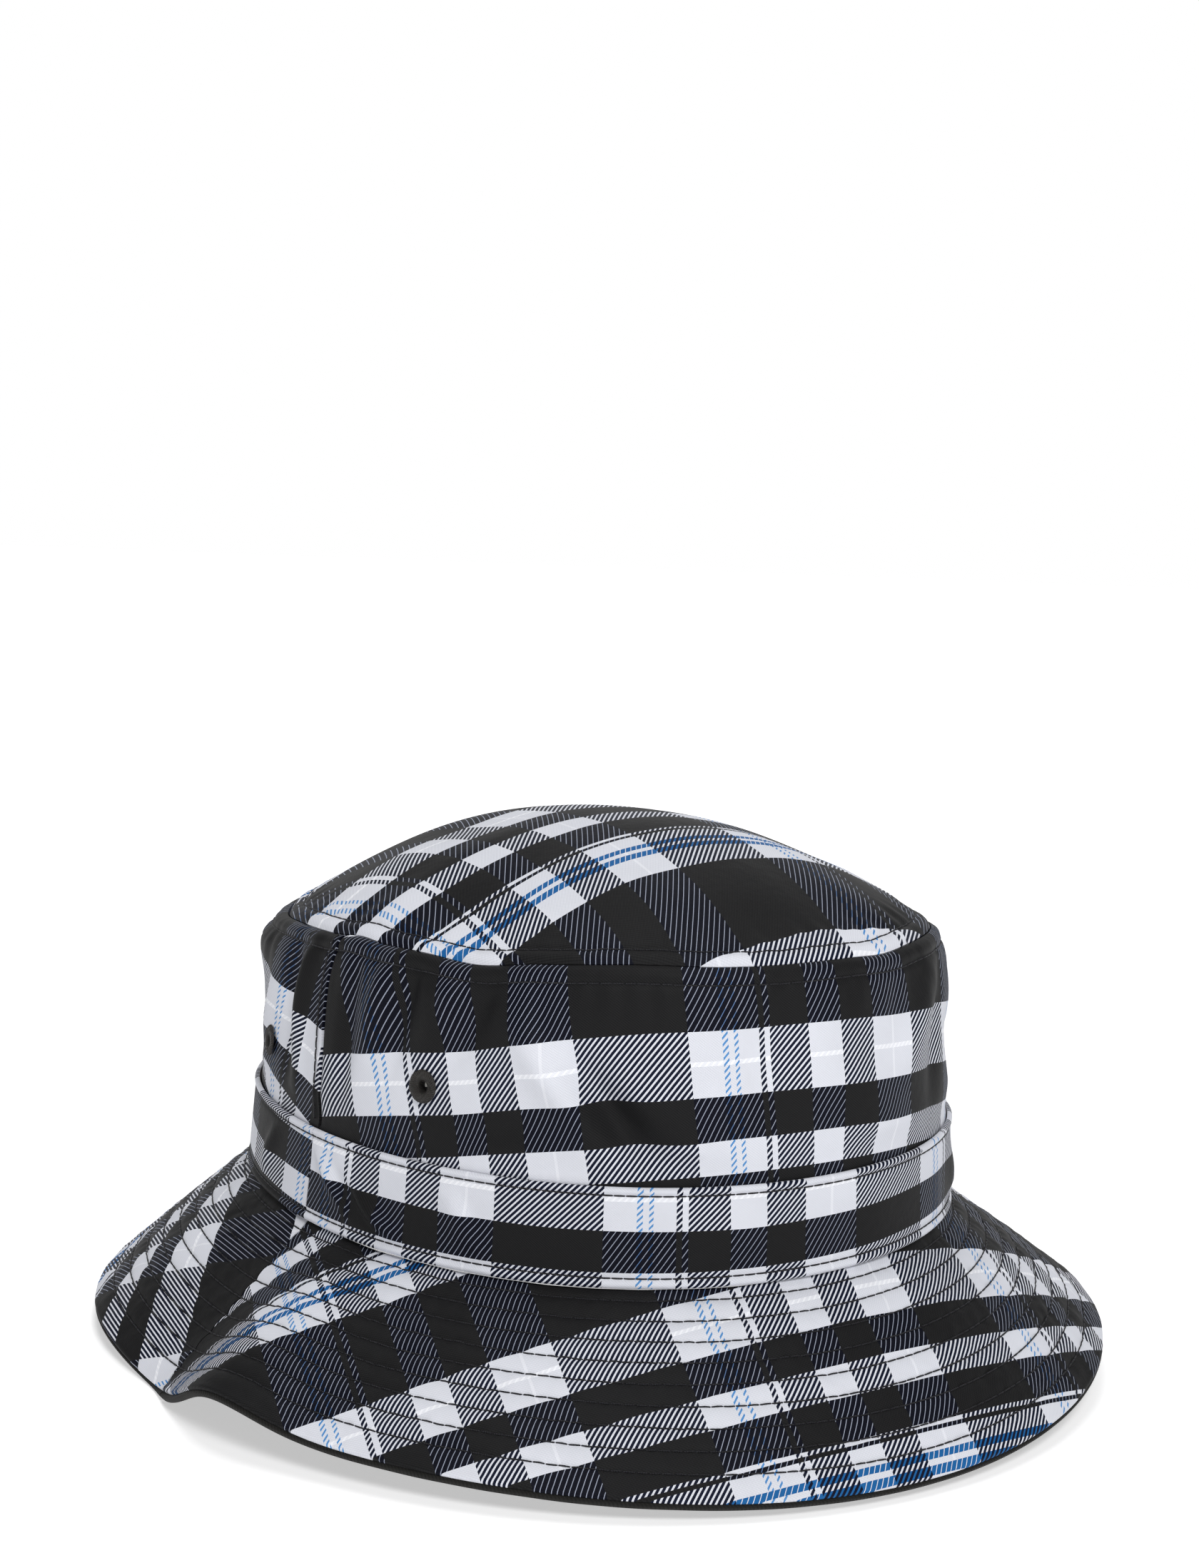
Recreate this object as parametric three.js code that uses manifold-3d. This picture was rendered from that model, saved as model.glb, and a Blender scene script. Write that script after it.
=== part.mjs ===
// Bucket hat: plaid crown, hat band and quilted brim, cut and sewn from flat panels.
// Units are millimetres, +Z is up, and the origin is on the surface that the hat stands on, under its middle.
// The front of the head faces -Y. The angle "turn" runs around the head in degrees: 0 is the front,
// 90 the wearer's left (+X), -90 the wearer's right (-X). The two side seams are at 90 and -90.

import * as THREE from 'three';
import { mergeVertices } from 'three/addons/utils/BufferGeometryUtils.js';
import Module from 'manifold-3d';

const wasm = await Module();
wasm.setup();

// ---- driving dimensions -------------------------------------------------------------------------

// Ovals of the crown. Half width across the head, half length along it, and the height of the ring,
// which dips and rises around the head by the four wave terms (once and twice per turn).
const BAND_FOOT = { halfWidth: 88.2, halfLength: 101.8, height: 38.0, cos1: 1.2, sin1: 0.4, cos2: 0.1, sin2: 1.9 };
const BAND_HEAD = { halfWidth: 86.1, halfLength: 101.8, height: 61.8, cos1: 0.9, sin1: 1.5, cos2: 0.0, sin2: 1.1 };
const CROWN_SEAM = { halfWidth: 78.4, halfLength: 94.3, height: 109.0, cos1: 3.5, sin1: 1.6, cos2: -0.5, sin2: 0.5 };

const DOME_RISE = 27.3;          // top panel: how far its middle stands above the crown seam
const DOME_POWER = 2.15;         // 2 is a bowl, more is flatter in the middle
const SHOULDER_BULGE = 3.0;      // how far the crown swells just under the crown seam
const BAND_STEP = 1.3;           // the hat band stands this far proud of the side panels

const BRIM_WIDTH = 51.5;         // from the band to the outer edge, along the cloth
const BRIM_DROP = 1.2;           // the brim starts this far under the foot of the band
const BRIM_TUCK = 1.5;           // the brim starts this far inside the foot of the band
const BRIM_ROLL = 0.6;           // degrees that the brim steepens at its edge
// Slope of the brim below level, in degrees: its mean and its waves, up to three per turn.
const BRIM_SLOPE = { mean: 36.8, cos1: -0.2, sin1: -0.75, cos2: 3.6, sin2: 1.5, cos3: 1.9, sin3: -0.25 };
// The brim is creased beside the seam at -90: a valley behind it and a crest before it.
const CREASES = [{ turn: -92, spread: 8.5, slope: 9.2 }, { turn: -76.8, spread: 5.8, slope: -8.4 }];

const CLOTH = 1.0;               // panel thickness, cloth and its backing
const BRIM_CLOTH = 0.8;
const GAP = 0.3;                 // clearance between neighbouring pieces
const SEAM_GAP = 0.12;           // half the clearance between the front and the back panels, degrees

const STITCH_ROWS = 9;           // rows of quilting around the brim
const FIRST_ROW = 1.5;           // first quilting row from the band
const LAST_ROW = 45.0;           // last quilting row from the band
const THREAD = 0.5;              // thread width
const WALL_STITCH = 3.9;         // from the crown seam down to the stitching on the side panels
const TOP_STITCH = 4.0;          // from the crown seam in to the stitching on the top panel
const BAND_STITCH = { foot: 2.5, head: 2.0 };   // from the band's foot, and from its head
const SEAM_STITCH = { beside: 1.2, halfTurn: 0.2, levels: [1.24, 1.4, 1.6, 1.77, 1.86] };   // turns in degrees
const CORE_INSET = 1.5;          // the brim's interlining ends this far inside its cloth

const EYELET = { flange: 3.8, bore: 1.1, barrel: 1.6, hole: 1.9 };
// Where the eyelets are: degrees of turn from the side seam, and height on the crown.
const EYELET_PLACES = { front: { beside: 22.0, level: 1.37 }, back: { beside: 19.0, level: 1.32 } };
const SWEATBAND_TOP = 1.1;       // heights on the crown: 0 band foot, 1 band head, 2 crown seam
const SIDES = { left: 90, right: -90 };

// Small sewn-on pieces: where each lies, in degrees of turn and in heights on the crown, and how thick it is.
const CROWN_TAPE_LEVELS = [1.85, 1.95];
const SIDE_TAPE = { halfTurn: 3.5, levels: [1.2, 1.4, 1.6, 1.8] };
const SIZE_LABEL = { turns: [168, 174, 180, 186, 192], levels: [0.15, 0.5, 0.85], thickness: 0.6 };
const SIDE_PATCH = { turns: [52, 55.5, 59], levels: [1.24, 1.36], thickness: 0.8 };

const COLOURS = {
  plaid: 0x55565f, band: 0x60616a, brim: 0x50515a, under: 0x1d1d1c, lining: 0x2a2a2c, foam: 0xd8d5cc,
  thread: 0x26262b, eyelet: 0x3b3632, label: 0xdedcd6, tape: 0x1b1b1d,
};

// ---- surfaces -----------------------------------------------------------------------------------

const radians = THREE.MathUtils.degToRad;

function waves(ring, turn) {
  const a = radians(turn);
  return ring.cos1 * Math.cos(a) + ring.sin1 * Math.sin(a) + ring.cos2 * Math.cos(2 * a) + ring.sin2 * Math.sin(2 * a);
}

function ovalPoint(ring, turn) {
  const a = radians(turn);
  const height = ring.height + waves(ring, turn);
  return new THREE.Vector3(ring.halfWidth * Math.sin(a), -ring.halfLength * Math.cos(a), height);
}

// Level direction square to the foot oval, pointing away from the head.
function outward(turn) {
  const a = radians(turn);
  return new THREE.Vector3(Math.sin(a) * BAND_FOOT.halfLength, -Math.cos(a) * BAND_FOOT.halfWidth, 0).normalize();
}

// Crown and band surface. Level 0 is the band foot, 1 the band head and 2 the crown seam.
function crownSurface(turn, level) {
  const foot = ovalPoint(BAND_FOOT, turn);
  const head = ovalPoint(BAND_HEAD, turn);
  if (level <= 1) return foot.lerp(head, level);
  const rise = Math.min(level - 1, 1);
  const swell = SHOULDER_BULGE * 4.07 * rise ** 2 * (1 - rise) ** 0.6;
  return head.lerp(ovalPoint(CROWN_SEAM, turn), rise).addScaledVector(outward(turn), swell);
}

// Top panel: reach 0 is its middle and reach 1 the crown seam.
function topSurface(turn, reach) {
  const edge = ovalPoint(CROWN_SEAM, turn);
  const middle = CROWN_SEAM.height;
  const height = middle + (edge.z - middle) * reach ** 2 + DOME_RISE * (1 - reach ** DOME_POWER);
  return new THREE.Vector3(edge.x * reach, edge.y * reach, height);
}

function brimSlope(turn) {
  const a = radians(turn);
  const s = BRIM_SLOPE;
  let slope = s.mean + s.cos1 * Math.cos(a) + s.sin1 * Math.sin(a) + s.cos2 * Math.cos(2 * a)
    + s.sin2 * Math.sin(2 * a) + s.cos3 * Math.cos(3 * a) + s.sin3 * Math.sin(3 * a);
  for (const crease of CREASES) {
    const away = THREE.MathUtils.euclideanModulo(turn - crease.turn + 180, 360) - 180;
    slope += crease.slope * Math.exp(-((away / crease.spread) ** 2) / 2);
  }
  return slope;
}

// Brim: along is the distance from the band, in millimetres.
function brimSurface(turn, along) {
  const slope = radians(brimSlope(turn) + BRIM_ROLL * (2 * along / BRIM_WIDTH - 1));
  const point = ovalPoint(BAND_FOOT, turn).addScaledVector(outward(turn), along * Math.cos(slope));
  point.z -= BRIM_DROP + along * Math.sin(slope);
  return point;
}

// The point at a depth under a surface, or above it where the depth is negative.
function under(surface, turn, row, depth) {
  const step = 0.01;
  const start = surface === topSurface ? Math.max(row, 0.02) : row;
  const around = surface(turn + step, start).sub(surface(turn - step, start));
  const up = surface(turn, start + step / 10).sub(surface(turn, start - step / 10));
  const normal = around.cross(up).normalize();
  if (surface !== crownSurface && normal.z < 0) normal.negate();
  if (surface === crownSurface && normal.dot(outward(turn)) < 0) normal.negate();
  return surface(turn, row).addScaledVector(normal, -depth);
}

// The cloth of the side panels tucks in behind the band.
function tuck(level) {
  return BAND_STEP * (1 - THREE.MathUtils.smoothstep(level, 1.02, 1.2));
}

// ---- solids -------------------------------------------------------------------------------------

function cleanGeometry(points, triangles) {
  let geometry = new THREE.BufferGeometry();
  geometry.setAttribute('position', new THREE.Float32BufferAttribute(points.flatMap((p) => [p.x, p.y, p.z]), 3));
  geometry.setIndex(triangles);
  geometry = mergeVertices(geometry, 1e-4);
  const index = Array.from(geometry.index.array);
  const kept = [];
  for (let i = 0; i < index.length; i += 3) {
    const [a, b, c] = index.slice(i, i + 3);
    if (a !== b && b !== c && c !== a) kept.push(a, b, c);
  }
  if (signedVolume(geometry, kept) < 0) kept.reverse();
  geometry.setIndex(kept);
  return geometry;
}

function signedVolume(geometry, index) {
  const corner = (i) => new THREE.Vector3().fromBufferAttribute(geometry.attributes.position, i);
  let volume = 0;
  for (let i = 0; i < index.length; i += 3) {
    volume += corner(index[i]).dot(corner(index[i + 1]).cross(corner(index[i + 2])));
  }
  return volume;
}

// Joins closed sections, one after the other, into a solid. Each section is an even list of points,
// and point j lies across the piece from point count - 1 - j.
function loft(sections, closed) {
  const count = sections[0].length;
  const triangles = [];
  // The inner face is split along the same diagonals as the outer one, so that nested sheets stay clear.
  const quad = (a, b, c, d, inner) => {
    if (inner) triangles.push(a, b, d, b, c, d);
    else triangles.push(a, b, c, a, c, d);
  };
  const last = closed ? sections.length : sections.length - 1;
  for (let i = 0; i < last; i += 1) {
    const here = i * count;
    const next = ((i + 1) % sections.length) * count;
    for (let j = 0; j < count; j += 1) {
      const k = (j + 1) % count;
      quad(here + j, here + k, next + k, next + j, j >= count / 2);
    }
  }
  if (!closed) {
    for (let j = 0; j < count / 2 - 1; j += 1) {
      const end = (sections.length - 1) * count;
      quad(j, count - 1 - j, count - 2 - j, j + 1);
      quad(end + j, end + j + 1, end + count - 2 - j, end + count - 1 - j);
    }
  }
  return cleanGeometry(sections.flat(), triangles);
}

// A sheet between two depths of a surface. Outer and inner depths may be functions of the row.
function sheet(surface, turns, rows, outer, inner, closed) {
  const depth = (value, row) => (typeof value === 'function' ? value(row) : value);
  const sections = turns.map((turn) => [
    ...rows.map((row) => under(surface, turn, row, depth(outer, row))),
    ...rows.toReversed().map((row) => under(surface, turn, row, depth(inner, row))),
  ]);
  return loft(sections, closed);
}

// A thread lying on a surface along one row, standing proud by a gap and its own height.
function threadRing(surface, row, rowPerMm, lift = 0) {
  const half = THREAD / 2 * rowPerMm;
  const low = -(GAP + lift);
  const high = low - THREAD;
  const sections = AROUND.map((turn) => [
    under(surface, turn, row - half, low), under(surface, turn, row + half, low),
    under(surface, turn, row + half / 2, high), under(surface, turn, row - half / 2, high),
  ]);
  return loft(sections, true);
}

// ---- stations -----------------------------------------------------------------------------------

// Turns from one angle to another: regular steps, and finer ones where the brim is creased.
function turnsBetween(from, to) {
  const coarse = 9;
  const fine = 3;
  const turns = [from];
  let turn = (Math.floor(from / fine) + 1) * fine;
  while (turn < to - fine / 2) {
    const creased = turn > -112 && turn < -62;
    if (creased || Math.abs(turn / coarse - Math.round(turn / coarse)) < 1e-6) turns.push(turn);
    turn += fine;
  }
  turns.push(to);
  return turns;
}

const FRONT = turnsBetween(-90 + SEAM_GAP, 90 - SEAM_GAP);
const BACK_RIGHT = turnsBetween(-180, -90 - SEAM_GAP);
const BACK_LEFT = turnsBetween(90 + SEAM_GAP, 180);
const BACK = [...BACK_LEFT.slice(0, -1), ...BACK_RIGHT];
const HALVES = { front: FRONT, back: BACK };
const AROUND = [...FRONT, ...BACK];

const WALL_LEVELS = [0.02, 0.5, 1.02, 1.1, 1.2, 1.4, 1.6, 1.77, 1.88, 1.94, 1.98];
const BAND_LEVELS = [0, 0.5, 1];
const TOP_REACHES = [0, 0.25, 0.5, 0.75, 0.9, 1];
const BRIM_STATIONS = [-BRIM_TUCK, ...[0.25, 0.5, 0.75, 1].map((share) => share * BRIM_WIDTH)];
const QUILTING = Array.from({ length: STITCH_ROWS }, (_, k) =>
  THREE.MathUtils.lerp(FIRST_ROW, LAST_ROW, k / (STITCH_ROWS - 1)));

const WALL_MM = 1 / (CROWN_SEAM.height - BAND_HEAD.height);   // levels per millimetre above the band
const BAND_MM = 1 / (BAND_HEAD.height - BAND_FOOT.height);    // levels per millimetre on the band
const TOP_MM = 1 / BAND_HEAD.halfWidth;                       // reach per millimetre on the top panel

// ---- pieces -------------------------------------------------------------------------------------

const hat = new THREE.Group();

function add(name, geometry, colour, roughness = 0.75) {
  const material = new THREE.MeshStandardMaterial({ color: colour, roughness, metalness: 0 });
  const mesh = new THREE.Mesh(geometry, material);
  mesh.name = name;
  hat.add(mesh);
  return mesh;
}

function toManifold(geometry) {
  const bare = geometry.clone();
  bare.deleteAttribute('normal');
  bare.deleteAttribute('uv');
  const merged = mergeVertices(bare, 1e-4);
  return new wasm.Manifold(new wasm.Mesh({
    numProp: 3,
    vertProperties: new Float32Array(merged.attributes.position.array),
    triVerts: new Uint32Array(merged.index.array),
  }));
}

function fromManifold(solid) {
  const mesh = solid.getMesh();
  const geometry = new THREE.BufferGeometry();
  geometry.setAttribute('position', new THREE.Float32BufferAttribute(mesh.vertProperties, 3));
  geometry.setIndex(Array.from(mesh.triVerts));
  return geometry;
}

// Where an eyelet sits, with its local +Y pointing straight out of the cloth.
function eyeletPlace({ turn, level }) {
  const place = crownSurface(turn, level);
  const out = place.clone().sub(under(crownSurface, turn, level, 1)).normalize();
  return { place, spin: new THREE.Quaternion().setFromUnitVectors(new THREE.Vector3(0, 1, 0), out) };
}

function eyeletHole(centre) {
  const { place, spin } = eyeletPlace(centre);
  const drill = new THREE.CylinderGeometry(EYELET.hole, EYELET.hole, 8, 16);
  drill.applyQuaternion(spin);
  drill.translate(place.x, place.y, place.z);
  return toManifold(drill);
}

// Thread-wrapped eyelet: a flange outside, a smaller one inside and the barrel between them.
function eyeletGeometry() {
  const { flange, bore, barrel } = EYELET;
  const inside = -(CLOTH + 1.5 * GAP);
  const profile = [
    [bore, inside - 0.5], [flange * 0.7, inside - 0.5], [flange * 0.7, inside], [barrel, inside],
    [barrel, GAP], [flange, GAP], [flange, GAP + 0.3], [flange * 0.6, GAP + 0.8], [bore, GAP + 0.4],
    [bore, inside - 0.5],
  ];
  return new THREE.LatheGeometry(profile.map(([x, y]) => new THREE.Vector2(x, y)), 12);
}

const { front, back } = EYELET_PLACES;
const eyeletCentres = {
  front_right: { turn: SIDES.right + front.beside, level: front.level },
  back_right: { turn: SIDES.right - back.beside, level: back.level },
  front_left: { turn: SIDES.left - front.beside, level: front.level },
  back_left: { turn: SIDES.left + back.beside, level: back.level },
};

function addCrown() {
  add('top_panel', sheet(topSurface, AROUND, TOP_REACHES, 0, CLOTH, true), COLOURS.plaid);
  for (const [half, turns] of Object.entries(HALVES)) {
    const cloth = (level) => tuck(level);
    let panel = toManifold(sheet(crownSurface, turns, WALL_LEVELS, cloth, (level) => cloth(level) + CLOTH, false));
    for (const [corner, centre] of Object.entries(eyeletCentres)) {
      if (corner.startsWith(half)) panel = panel.subtract(eyeletHole(centre));
    }
    add(`side_panel_${half}`, fromManifold(panel), COLOURS.plaid);
  }
}

function addEyelets() {
  for (const [corner, centre] of Object.entries(eyeletCentres)) {
    const { place, spin } = eyeletPlace(centre);
    const eyelet = add(`eyelet_${corner}`, eyeletGeometry(), COLOURS.eyelet, 0.85);
    eyelet.position.copy(place);
    eyelet.quaternion.copy(spin);
  }
}

function addBand() {
  for (const [half, turns] of Object.entries(HALVES)) {
    add(`hat_band_${half}`, sheet(crownSurface, turns, BAND_LEVELS, 0, CLOTH, false), COLOURS.band);
  }
}

function addBrim() {
  const middle = BRIM_CLOTH + GAP;
  const bottom = 2 * middle;
  for (const [half, turns] of Object.entries(HALVES)) {
    add(`brim_top_${half}`, sheet(brimSurface, turns, BRIM_STATIONS, 0, BRIM_CLOTH, false), COLOURS.brim);
    add(`brim_under_${half}`, sheet(brimSurface, turns, BRIM_STATIONS, bottom, bottom + BRIM_CLOTH, false),
      COLOURS.under);
  }
  const core = BRIM_STATIONS.map((along) => THREE.MathUtils.clamp(along, CORE_INSET, BRIM_WIDTH - CORE_INSET));
  add('brim_interlining', sheet(brimSurface, AROUND, core, middle, middle + BRIM_CLOTH, true), COLOURS.foam);
}

function addInside() {
  const behind = CLOTH + GAP;
  add('sweatband', sheet(crownSurface, AROUND, [0.02, 0.5, SWEATBAND_TOP],
    (level) => tuck(level) + behind, (level) => tuck(level) + behind + BRIM_CLOTH, true), COLOURS.lining);
  add('crown_seam_tape', sheet(crownSurface, AROUND, CROWN_TAPE_LEVELS, behind, behind + BRIM_CLOTH, true),
    COLOURS.tape);
  for (const [side, turn] of Object.entries(SIDES)) {
    const turns = [turn - SIDE_TAPE.halfTurn, turn, turn + SIDE_TAPE.halfTurn];
    add(`side_seam_tape_${side}`, sheet(crownSurface, turns, SIDE_TAPE.levels, behind, behind + BRIM_CLOTH, false),
      COLOURS.tape);
  }
  const label = (level) => tuck(level) + behind + BRIM_CLOTH + GAP;
  add('size_label', sheet(crownSurface, SIZE_LABEL.turns, SIZE_LABEL.levels, label,
    (level) => label(level) + SIZE_LABEL.thickness, false), COLOURS.label);
}

function addTrim() {
  add('side_patch', sheet(crownSurface, SIDE_PATCH.turns, SIDE_PATCH.levels,
    -GAP, -(GAP + SIDE_PATCH.thickness), false), COLOURS.label);
  const { beside, halfTurn, levels } = SEAM_STITCH;
  for (const [side, turn] of Object.entries(SIDES)) {
    const place = turn + Math.sign(turn) * beside;
    add(`side_seam_stitch_${side}`, sheet(crownSurface, [place - halfTurn, place + halfTurn], levels,
      -(GAP + THREAD), -GAP, false), COLOURS.thread);
  }
}

function addStitching() {
  add('top_panel_stitch', threadRing(topSurface, 1 - TOP_STITCH * TOP_MM, TOP_MM), COLOURS.thread);
  add('side_panel_stitch', threadRing(crownSurface, 2 - WALL_STITCH * WALL_MM, WALL_MM), COLOURS.thread);
  add('band_stitch_upper', threadRing(crownSurface, 1 - BAND_STITCH.head * BAND_MM, BAND_MM), COLOURS.thread);
  add('band_stitch_lower', threadRing(crownSurface, BAND_STITCH.foot * BAND_MM, BAND_MM), COLOURS.thread);
  QUILTING.forEach((along, k) => {
    add(`brim_stitch_row_${k + 1}`, threadRing(brimSurface, along, 1), COLOURS.thread);
  });
}

addCrown();
addEyelets();
addBand();
addBrim();
addInside();
addTrim();
addStitching();

// The hat stands on its brim: its box is centred over the origin and its lowest point is at zero.
const box = new THREE.Box3().setFromObject(hat, true);
const middle = box.getCenter(new THREE.Vector3());
hat.position.set(-middle.x, -middle.y, -box.min.z);

export default hat;
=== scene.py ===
"""Bucket hat: detailed cloth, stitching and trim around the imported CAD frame.

Lengths inside the formulas are millimetres. "turn" runs around the head in degrees: 0 is the front (-Y),
90 the wearer's left (+X). A depth is measured into the cloth from the outer surface.
"""
import math

import bmesh
import bpy
import numpy as np
from mathutils import Matrix, Vector


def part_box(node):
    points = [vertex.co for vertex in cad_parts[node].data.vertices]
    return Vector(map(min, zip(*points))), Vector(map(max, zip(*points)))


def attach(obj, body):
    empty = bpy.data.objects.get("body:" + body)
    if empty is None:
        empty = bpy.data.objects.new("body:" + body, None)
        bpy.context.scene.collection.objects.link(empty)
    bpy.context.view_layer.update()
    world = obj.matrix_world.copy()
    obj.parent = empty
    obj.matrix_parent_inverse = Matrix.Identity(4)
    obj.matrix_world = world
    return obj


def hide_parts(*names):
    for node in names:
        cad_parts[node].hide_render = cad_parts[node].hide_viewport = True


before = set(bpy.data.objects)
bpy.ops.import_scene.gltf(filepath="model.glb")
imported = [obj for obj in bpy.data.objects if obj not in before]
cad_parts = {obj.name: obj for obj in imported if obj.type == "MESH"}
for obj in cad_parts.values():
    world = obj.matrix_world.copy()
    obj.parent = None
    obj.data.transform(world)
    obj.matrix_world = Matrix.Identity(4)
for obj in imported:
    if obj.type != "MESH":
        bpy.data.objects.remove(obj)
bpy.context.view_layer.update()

MM = 0.001

# ---- the hat's shape, the same rule as the CAD model ----

BAND_FOOT = dict(half_width=88.2, half_length=101.8, height=38.0, waves=(1.2, 0.4, 0.1, 1.9))
BAND_HEAD = dict(half_width=86.1, half_length=101.8, height=61.8, waves=(0.9, 1.5, 0.0, 1.1))
CROWN_SEAM = dict(half_width=78.4, half_length=94.3, height=109.0, waves=(3.5, 1.6, -0.5, 0.5))
DOME_RISE, DOME_POWER = 27.3, 2.15
SHOULDER_BULGE = 3.0             # how far the crown swells just under the crown seam
SHOULDER_SHAPE = 4.07            # scales the swell's curve so that its highest point is the bulge
BAND_STEP = 1.3                  # the band stands this far proud of the side panels
BRIM_WIDTH, BRIM_DROP, BRIM_ROLL, BRIM_TUCK = 51.5, 1.2, 0.6, 1.5
# The brim's slope, in degrees: its mean, then the cosine and the sine of one, two and three waves per turn.
BRIM_SLOPE = (36.8, -0.2, -0.75, 3.6, 1.5, 1.9, -0.25)
CREASES = ((-92.0, 8.5, 9.2), (-76.8, 5.8, -8.4))    # of the brim: turn, spread, extra slope
CLOTH, BRIM_CLOTH, GAP = 1.0, 0.8, 0.3
UNDER_TOP = 2 * (BRIM_CLOTH + GAP)
UNDER_BOTTOM = UNDER_TOP + BRIM_CLOTH
SEAM_GAP = 0.12                  # half the gap between front and back panels, in degrees
WALL_HEIGHT = CROWN_SEAM["height"] - BAND_HEAD["height"]
BAND_HEIGHT = BAND_HEAD["height"] - BAND_FOOT["height"]
QUILTING = np.linspace(1.5, 45.0, 9)    # rows of stitching, from the band
EYELET_HOLE = 1.9
EYELET_PLACES = {"front": (22.0, 1.37), "back": (19.0, 1.32)}   # degrees from the side seam, and level
TOP_RADIUS, TOP_HALF_WIDTH, TOP_HALF_LENGTH = 86.0, 78, 94    # of the top panel's relief and stitching
TOP_STITCH, WALL_STITCH = 4.0, 3.9      # from the crown seam
SIDE_STITCH = 1.2                # degrees behind the side seam
SIDE_RIDGE = 1.2                 # mm behind the side seam, where its allowance stands highest
BAND_STITCH = (2.5, 2.0)         # from the band's foot and from its head
UNDER_LIP = 0.7                  # the under cloth is rolled this far past the upper cloth
CURL_TURN, CURL_SPREAD, CURL_SIZE = -88, 4.0, 1.3    # where the under cloth curls out, beside the seam
PATCH = dict(turn=55.5, half_turn=3.5, level=1.30, half_level=0.06, thickness=0.8)
LABEL_PLACE = dict(turns=(168, 192), levels=(0.15, 0.85), thickness=0.6)
SWEATBAND_LEVELS = (0.02, 1.1)
CROWN_TAPE_LEVELS, SIDE_TAPE_LEVELS, SIDE_TAPE_HALF_TURN = (1.85, 1.95), (1.2, 1.8), 3.5
MM_PER_DEGREE = 1.5              # of turn, around the crown
WEAVE_PER_DEGREE = 1.6           # mm of plain cloth for a degree of turn
REST = 0.1                       # the cloth flattens where it rests on the floor


def hill(x, spread):
    return np.exp(-((x / spread) ** 2))


def apart(turn, centre):
    """Signed angle from a centre to a turn."""
    return (turn - centre + 180) % 360 - 180


def seat_offset():
    """Where the formulas' origin lies in the frame: the CAD model is centred over its own box."""
    low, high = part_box("top_panel")
    top = CROWN_SEAM["height"] + DOME_RISE
    return np.array([(low.x + high.x) / 2 / MM, (low.y + high.y) / 2 / MM, high.z / MM - top])


SEAT = seat_offset()


# Where the crown seam sags or rises a little: turn, spread in degrees, height.
SEAM_WOBBLE = ((-62, 7, -1.6), (-86, 5, 1.0), (-36, 10, 0.8), (11, 7, -0.7), (57, 14, -1.6), (96, 7, -0.9),
               (140, 10, 0.8), (183, 9, -0.7), (-125, 13, -1.6), (-160, 9, 0.7))


def oval(ring, turn):
    a = np.radians(turn)
    c1, s1, c2, s2 = ring["waves"]
    height = ring["height"] + c1 * np.cos(a) + s1 * np.sin(a) + c2 * np.cos(2 * a) + s2 * np.sin(2 * a)
    if ring is CROWN_SEAM:
        for centre, spread, lift in SEAM_WOBBLE:
            height = height + lift * hill(apart(turn, centre), spread)
    return np.stack([ring["half_width"] * np.sin(a), -ring["half_length"] * np.cos(a), height], -1)


def outward(turn):
    a = np.radians(turn)
    out = np.stack([np.sin(a) * BAND_FOOT["half_length"], -np.cos(a) * BAND_FOOT["half_width"], 0 * a], -1)
    return out / np.linalg.norm(out, axis=-1, keepdims=True)


def crown_surface(turn, level):
    """Level 0 is the band's foot, 1 its head and 2 the crown seam."""
    low = np.clip(level, -1, 1)[..., None]
    rise = np.clip(level - 1, 0, 1)[..., None]
    below = oval(BAND_FOOT, turn) * (1 - low) + oval(BAND_HEAD, turn) * low
    above = oval(BAND_HEAD, turn) * (1 - rise) + oval(CROWN_SEAM, turn) * rise
    swell = SHOULDER_BULGE * SHOULDER_SHAPE * rise ** 2 * (1 - rise) ** 0.6
    return np.where(level[..., None] <= 1, below, above + outward(turn) * swell)


def top_surface(turn, reach):
    """Reach 0 is the middle of the top panel and 1 the crown seam."""
    edge = oval(CROWN_SEAM, turn)
    middle = CROWN_SEAM["height"]
    height = middle + (edge[..., 2] - middle) * reach ** 2 + DOME_RISE * (1 - np.abs(reach) ** DOME_POWER)
    return np.stack([edge[..., 0] * reach, edge[..., 1] * reach, height], -1)


def brim_slope(turn):
    a = np.radians(turn)
    mean, c1, s1, c2, s2, c3, s3 = BRIM_SLOPE
    slope = mean + c1 * np.cos(a) + s1 * np.sin(a) + c2 * np.cos(2 * a) + s2 * np.sin(2 * a)
    slope = slope + c3 * np.cos(3 * a) + s3 * np.sin(3 * a)
    for centre, spread, extra in CREASES:
        away = apart(turn, centre)
        slope = slope + extra * np.exp(-((away / spread) ** 2) / 2)
    return slope


def brim_surface(turn, along):
    """Along is the distance from the band."""
    slope = np.radians(brim_slope(turn) + BRIM_ROLL * (2 * along / BRIM_WIDTH - 1))
    point = oval(BAND_FOOT, turn) + outward(turn) * (along * np.cos(slope))[..., None]
    point[..., 2] -= BRIM_DROP + along * np.sin(slope)
    return point


def normals(surface, turn, row):
    """Outward unit normals of a surface."""
    start = np.maximum(row, 0.02) if surface is top_surface else row
    step = 0.05 if surface is brim_surface else 0.002
    around = surface(turn + 0.05, start) - surface(turn - 0.05, start)
    up = surface(turn, start + step) - surface(turn, start - step)
    normal = np.cross(around, up)
    normal /= np.linalg.norm(normal, axis=-1, keepdims=True)
    if surface is crown_surface:
        flip = (normal * outward(turn)).sum(-1) < 0
    else:
        flip = normal[..., 2] < 0
    return np.where(flip[..., None], -normal, normal)


def lay(surface, turn, row, depth):
    return surface(turn, row) - normals(surface, turn, row) * np.asarray(depth)[..., None]


def tuck(level):
    """How far the side panels lie behind the band's outer face."""
    x = np.clip((level - 1.02) / 0.18, 0, 1)
    return BAND_STEP * (1 - x * x * (3 - 2 * x))


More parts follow.
